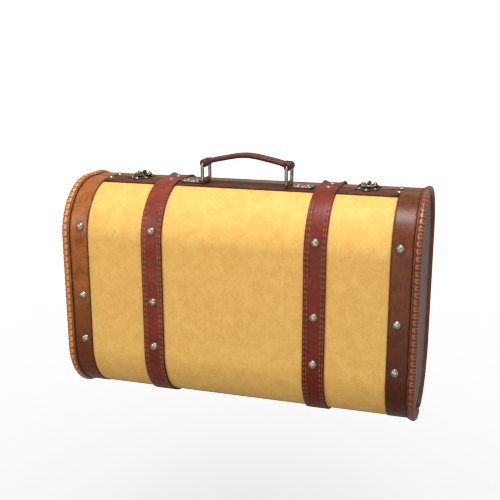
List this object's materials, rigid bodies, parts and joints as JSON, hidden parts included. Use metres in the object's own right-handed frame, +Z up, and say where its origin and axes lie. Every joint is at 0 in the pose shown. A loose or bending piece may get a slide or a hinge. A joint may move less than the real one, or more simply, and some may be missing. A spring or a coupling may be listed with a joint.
{
  "type": "vintage suitcase",
  "caption": "Two-part suitcase with rounded edges, leather straps, laced end trims, domed rivets, turn-knob latches, bottom hinges and an arched carrying handle on wire rings.",
  "frame": {"origin": "middle of the footprint, on the surface that the case stands on", "axes": "+Z up, +X along the case's length, front half towards -Y, seam in the plane y = 0"},
  "size_m": [0.4398, 0.1716, 0.3159],
  "materials": {
    "cover": "matte mottled",
    "band": "satin",
    "rim": "gloss",
    "trim": "satin",
    "strap": "satin",
    "panel": "satin",
    "carcass": "raw",
    "lining": "matte",
    "rivet": "antique",
    "bronze": "antique",
    "hinge": "antique",
    "ring": "antique",
    "grip": "satin"
  },
  "bodies": {
    "back_half": {"back_band_left": "band", "back_band_right": "band", "back_band_rivets": "rivet", "back_bottom_rim": "rim", "back_cover": "cover", "back_end_board_left": "carcass", "back_end_board_right": "carcass", "back_end_panel_left": "panel", "back_end_panel_right": "panel", "back_hinge_screws": "hinge", "back_latch_screws": "bronze", "back_lining": "lining", "back_mouth_frame": "carcass", "back_rim_rivets": "rivet", "back_strap_left": "strap", "back_strap_right": "strap", "back_strap_rivets": "rivet", "back_top_rim": "rim", "back_trim_left": "trim", "back_trim_right": "trim", "back_wrap": "carcass", "hinge_back_leaves": "hinge", "hinge_pins": "hinge", "keeper_plates": "bronze"},
    "front_half": {"front_band_left": "band", "front_band_right": "band", "front_band_rivets": "rivet", "front_bottom_rim": "rim", "front_cover": "cover", "front_end_board_left": "carcass", "front_end_board_right": "carcass", "front_end_panel_left": "panel", "front_end_panel_right": "panel", "front_hinge_screws": "hinge", "front_latch_screws": "bronze", "front_lining": "lining", "front_mouth_frame": "carcass", "front_rim_rivets": "rivet", "front_strap_left": "strap", "front_strap_right": "strap", "front_strap_rivets": "rivet", "front_top_rim": "rim", "front_trim_left": "trim", "front_trim_right": "trim", "front_wrap": "carcass", "handle_plates": "rivet", "handle_rivets": "rivet", "handle_tabs": "strap", "hasp_pins": "bronze", "hinge_front_leaves": "hinge", "latch_plate_left": "bronze", "latch_plate_right": "bronze"},
    "ring_left": {"ring_left": "ring"},
    "ring_right": {"ring_right": "ring"},
    "grip": {"grip": "grip"},
    "hasp_left": {"hasp_left": "bronze"},
    "hasp_right": {"hasp_right": "bronze"},
    "knob_left": {"knob_left": "bronze"},
    "knob_right": {"knob_right": "bronze"}
  },
  "joints": [
    {"name": "lid_hinge", "type": "hinge", "parent": "back_half", "child": "front_half", "pos_m": [0, 0, 0.003], "axis": [1, 0, 0], "range_deg": [0, 130]},
    {"name": "handle_swing", "type": "hinge", "parent": "front_half", "child": "ring_left", "pos_m": [-0.0528, -0.015, 0.2806], "axis": [0, 1, 0], "range_deg": [-60, 60]},
    {"name": "ring_right_swing", "type": "hinge", "parent": "front_half", "child": "ring_right", "pos_m": [0.0528, -0.015, 0.2806], "axis": [0, 1, 0], "range_deg": [-60, 60]},
    {"name": "grip_pivot", "type": "hinge", "parent": "ring_left", "child": "grip", "pos_m": [-0.0528, -0.015, 0.3024], "axis": [0, 1, 0], "range_deg": [-60, 60]},
    {"name": "hasp_left_swing", "type": "hinge", "parent": "front_half", "child": "hasp_left", "pos_m": [-0.146, -0.0046, 0.2802], "axis": [1, 0, 0], "range_deg": [0, 110]},
    {"name": "hasp_right_swing", "type": "hinge", "parent": "front_half", "child": "hasp_right", "pos_m": [0.146, -0.0046, 0.2802], "axis": [1, 0, 0], "range_deg": [0, 110]},
    {"name": "knob_left_turn", "type": "hinge", "parent": "back_half", "child": "knob_left", "pos_m": [-0.146, 0.008, 0.2774], "axis": [0, 0, 1], "range_deg": [0, 90]},
    {"name": "knob_right_turn", "type": "hinge", "parent": "back_half", "child": "knob_right", "pos_m": [0.146, 0.008, 0.2774], "axis": [0, 0, 1], "range_deg": [0, 90]}
  ],
  "couplings": [
    {"joint": "ring_right_swing", "follows": "handle_swing", "ratio": 1},
    {"joint": "grip_pivot", "follows": "handle_swing", "ratio": -1}
  ]
}
